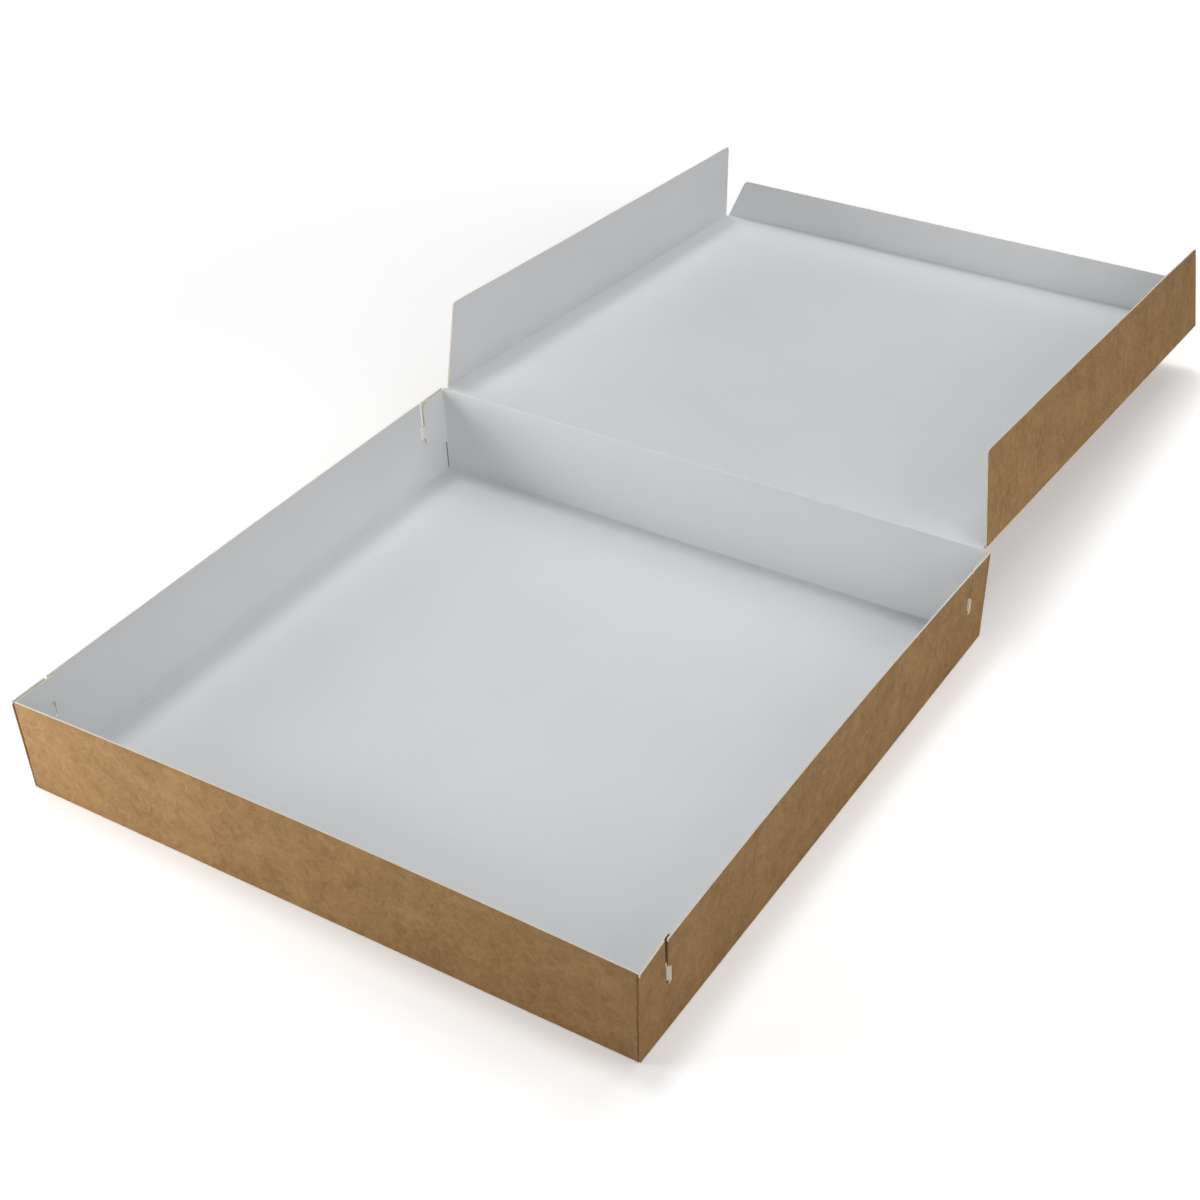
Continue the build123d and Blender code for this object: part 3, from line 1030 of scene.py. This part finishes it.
@dataclass
class Lid:
    """The open lid: a square panel, two side flaps, a front lip and the bent card between them."""

    card: Card
    crease_gap: float = 0.5 * MM
    flap_height: float = 48.0 * MM
    flap_from_hinge: float = 3.0 * MM
    flap_from_lip: float = 1.5 * MM
    flap_slant: float = 4.0 * MM
    flap_bow: float = 0.6 * MM
    flap_ripple: float = 2.4 * MM
    lip_height: float = 25.0 * MM
    lip_inset: float = 1.2 * MM
    lip_slant: float = 10.6 * MM
    lip_ripple: float = 1.0 * MM
    ripple_scale: float = 11.0
    left_seed: float = 3.0
    right_seed: float = 7.0
    lip_seed: float = 11.0
    corner_radius: float = 2.0 * MM
    blend_margin: float = 0.05 * MM
    panel_grid: tuple[int, int] = (80, 80)
    flap_grid: tuple[int, int] = (70, 36)
    strip_grid: tuple[int, int] = (70, 16)

    def __post_init__(self) -> None:
        """Read the creases from the frame's joints."""
        self.joints = {joint["name"]: joint for joint in frame["joints"]}
        hinge, lip, along = (Vector(self.joints[name][key]) for name, key in (
            ("lid_hinge", "pos_m"), ("front_lip_hinge", "pos_m"), ("left_flap_hinge", "axis"),
        ))
        slope = Matrix.Rotation(math.atan2(along.z, along.y), 4, "X")
        self.place = Matrix.Translation(hinge) @ slope
        self.crease_x = self.joints["right_flap_hinge"]["pos_m"][0]
        _, self.crease_y, self.crease_z = self.place.inverted() @ lip
        self.panels = panel_rule()
        self.folds = fold_rule()

    def sheet(self, rule: ShapeRule, name: str, place: Matrix, grid: tuple[int, int],
              sizes: dict[str, float]) -> Object:
        """Make one piece of the lid.

        Args:
            rule: The tree that shapes it.
            name: Name of the piece.
            place: Matrix from the sheet's own frame to the row frame.
            grid: Its columns and rows.
            sizes: Values of the tree's other inputs.

        Returns:
            The piece.
        """
        numbers = {**sizes, "Columns": grid[0], "Rows": grid[1]}
        piece = rule.make(name, self.card, place, numbers)
        return piece

    def flap(self, body: str, node: str, turn: float, point: Vector,
             sizes: dict[str, float]) -> list[Object]:
        """Make a folded panel and the bent strip at its crease.

        Args:
            body: The panel's body in the frame.
            node: The CAD node that it replaces.
            turn: Angle of its crease about the lid's normal, 0 for the one at the far edge.
            point: Middle of its crease, in the lid's frame.
            sizes: Length, height and the other named sizes of the panel.

        Returns:
            The panel and the strip.
        """
        angle = -math.radians(self.joints[body + "_hinge"]["range_deg"][0])
        radius = self.crease_z + self.card.thickness / 2
        length = sizes["Length"]
        flat = self.place @ Matrix.Translation(point) @ Matrix.Rotation(turn, 4, "Z")
        start = Matrix.Translation((-length / 2, self.crease_gap, -radius))
        upright = flat @ Matrix.Rotation(angle, 4, "X") @ start
        height = sizes["Height"] - self.crease_gap
        name = body + "_card"
        panel = self.sheet(self.panels, name, upright, self.flap_grid, {**sizes, "Height": height})
        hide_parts(node)
        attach(panel, body)
        below = flat @ Matrix.Translation((0.0, 0.0, -radius))
        strip = self.sheet(self.folds, name + "_crease", below, self.strip_grid, {
            "Length": length,
            "Bend Radius": radius,
            "Fold Angle": angle,
            "Lead": self.crease_gap,
        })
        margin = self.blend_margin
        low = flat @ Vector((0.0, -margin, -self.crease_z - margin))
        high = flat @ Vector((0.0, self.crease_z + margin, margin))
        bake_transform(strip)
        return [panel, strip]

    def build(self) -> list[Object]:
        """Make the panel, both flaps and the lip.

        Returns:
            The pieces.
        """
        half_width = self.crease_x - self.crease_gap
        place = self.place @ Matrix.Translation((-half_width, 0.0, -self.card.thickness / 2))
        panel = self.sheet(self.panels, "lid_panel_card", place, self.panel_grid, {
            "Length": 2 * half_width,
            "Height": self.crease_y - self.crease_gap,
        })
        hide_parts("lid_panel")
        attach(panel, "lid")
        near, far = self.flap_from_hinge, self.crease_y - self.flap_from_lip
        flap = {
            "Length": far - near,
            "Height": self.flap_height,
            "End Slant": self.flap_slant,
            "Corner Radius": self.corner_radius,
            "Free Edge Bow": self.flap_bow,
            "Ripple": self.flap_ripple,
            "Ripple Scale": self.ripple_scale,
        }
        lip = {
            **flap,
            "Length": 2 * (self.crease_x - self.lip_inset),
            "Height": self.lip_height,
            "End Slant": self.lip_slant,
            "Ripple": self.lip_ripple,
            "Seed": self.lip_seed,
        }
        pieces = [panel]
        for side, body, node, seed in (
            (Side.LEFT, "left_flap", "lid_flap_left", self.left_seed),
            (Side.RIGHT, "right_flap", "lid_flap_right", self.right_seed),
        ):
            point = Vector((side.value * self.crease_x, (near + far) / 2, self.crease_z))
            turn = -side.value * QUARTER
            pieces += self.flap(body, node, turn, point, {**flap, "Seed": seed})
        point = Vector((0.0, self.crease_y, self.crease_z))
        return pieces + self.flap("front_lip", "lid_front_lip", 0.0, point, lip)


def seen_from(azimuth: float, elevation: float) -> Vector:
    """Unit vector towards a viewer or lamp, by angles in radians, with azimuth 0 at the front."""
    level = math.cos(elevation)
    return Vector((math.sin(azimuth) * level, -math.cos(azimuth) * level, math.sin(elevation)))


@dataclass(frozen=True)
class Sun:
    """A soft lamp that lights the whole scene evenly, with its angles in degrees."""

    name: str
    azimuth: float
    elevation: float
    softness: float
    strength: float

    def place(self) -> None:
        """Add the lamp."""
        lamp = bpy.data.lights.new(self.name, "SUN")
        lamp.energy = self.strength
        lamp.angle = math.radians(self.softness)
        source = seen_from(math.radians(self.azimuth), math.radians(self.elevation))
        turn = source.to_track_quat("Z", "Y").to_euler()
        add_object(self.name, lamp).rotation_euler = turn


@dataclass(frozen=True)
class Softbox:
    """A square soft lamp near the box, brighter on what is close to it."""

    name: str
    position: tuple[float, float, float]
    aim: tuple[float, float, float]
    size: float
    power: float

    def place(self) -> None:
        """Add the lamp."""
        lamp = bpy.data.lights.new(self.name, "AREA")
        lamp.shape = "SQUARE"
        lamp.size = self.size
        lamp.energy = self.power
        holder = add_object(self.name, lamp)
        position = Vector(self.position)
        turn = (position - Vector(self.aim)).to_track_quat("Z", "Y").to_matrix().to_4x4()
        holder.matrix_world = Matrix.Translation(position) @ turn
        holder.visible_camera = False


@dataclass
class Studio:
    """Pale floor, soft light, white surroundings and the photograph's camera.

    The camera's aim and distance are in tray widths, and its angles in degrees.
    """

    tray_width: float = 0.320
    azimuth: float = 33.15
    elevation: float = 35.18
    roll: float = -1.717
    aim: tuple[float, float] = (0.1086, 0.1608)
    distance: float = 2.99
    lens: float = 60.9
    sensor: float = 36.0
    clip_end: float = 100.0
    floor_size: float = 30.0
    floor_shade: float = 0.78
    glow_near: float = 0.22
    glow_far: float = 0.62
    glow_reach: tuple[float, float] = (0.38, 0.95)
    surround: float = 0.05
    lamps: Sequence[Sun | Softbox] = (
        Sun("front_right", 50.0, 35.0, 60.0, 0.80),
        Sun("back_left", 240.0, 73.0, 14.0, 0.71),
        Softbox("over_back", (0.0, 0.7, 1.4), (0.0, 0.1, 0.0), 1.0, 4.4),
        Softbox("over_far", (0.0, 1.2, 1.6), (0.0, 0.3, 0.0), 1.2, 4.6),
        Softbox("left_close", (-0.42, -0.42, 0.16), (-0.12, -0.16, 0.02), 0.25, 1.9),
        Softbox("left_front", (-0.75, -0.75, 0.35), (-0.10, -0.16, 0.02), 0.5, 0.8),
        Softbox("left_low", (-0.42, -0.42, 0.04), (-0.12, -0.16, 0.025), 0.10, 0.15),
        Softbox("right_mid", (0.7, 0.1, 0.35), (0.0, 0.1, 0.0), 0.5, 1.35),
    )

    def camera(self) -> None:
        """Place the camera where the photograph was taken from."""
        azimuth, elevation, roll = map(math.radians, (self.azimuth, self.elevation, self.roll))
        back = seen_from(azimuth, elevation)
        level = Vector((math.cos(azimuth), math.sin(azimuth), 0.0))
        upright = back.cross(level)
        right = math.cos(roll) * level + math.sin(roll) * upright
        up = math.cos(roll) * upright - math.sin(roll) * level
        data = bpy.data.cameras.new("camera")
        data.lens = self.lens
        data.sensor_width = self.sensor
        data.clip_end = self.clip_end
        holder = add_object("camera", data)
        place = right * self.aim[0] + up * self.aim[1] + back * self.distance
        turn = Matrix((right, up, back)).transposed().to_4x4()
        holder.matrix_world = Matrix.Translation(place * self.tray_width) @ turn
        bpy.context.scene.camera = holder

    def floor(self) -> None:
        """Lay a pale floor, white to the camera, that keeps the box's shadow."""
        body = bmesh.new()
        bmesh.ops.create_grid(body, x_segments=1, y_segments=1, size=self.floor_size / 2)
        mesh = as_mesh("floor", body)
        piece = add_object("floor", mesh)
        paint = bpy.data.materials.new("floor_paint")
        paint.use_nodes = True
        graph = Graph(paint.node_tree)
        x, y = graph.across(graph.node("ShaderNodeTexCoord").outputs["Object"])
        from_hinge = y - self.tray_width / 2
        far = (x * x + from_hinge * from_hinge).root().ramp(*self.glow_reach)
        lift = graph.blend(far, (self.glow_near,) * 3, (self.glow_far,) * 3)
        plain, white = (
            graph.node("ShaderNodeBsdfDiffuse", {"Color": (shade,) * 3})
            for shade in (self.floor_shade, 1.0)
        )
        glow = graph.node("ShaderNodeEmission", {"Color": lift})
        lit = graph.node("ShaderNodeAddShader", {"Shader": white, "Shader_001": glow})
        graph.node("ShaderNodeOutputMaterial", {"Surface": graph.for_camera(plain, lit)})
        mesh.materials.append(paint)

    def surroundings(self) -> None:
        """White to the camera, and a plain pale light all round."""
        world = bpy.data.worlds.new("surroundings")
        world.use_nodes = True
        graph = Graph(world.node_tree)
        dim, white = (
            graph.node("ShaderNodeBackground", {"Color": (1.0,) * 3, "Strength": strength})
            for strength in (self.surround, 1.0)
        )
        graph.node("ShaderNodeOutputWorld", {"Surface": graph.for_camera(dim, white)})
        bpy.context.scene.world = world

    def build(self) -> None:
        """Set up everything that isn't the box."""
        bpy.context.scene.view_settings.view_transform = "Standard"
        self.camera()
        self.floor()
        self.surroundings()
        for lamp in self.lamps:
            lamp.place()


def main() -> None:
    """Build the studio, the tray and the lid."""
    logging.basicConfig(level=logging.INFO, format="%(name)s %(message)s")
    Studio().build()
    card = Card.make()
    for part in (Tray(card), Lid(card)):
        for piece in part.build():
            log.info("%s: %d faces", piece.name, len(piece.data.polygons))


if __name__ == "__main__":
    main()
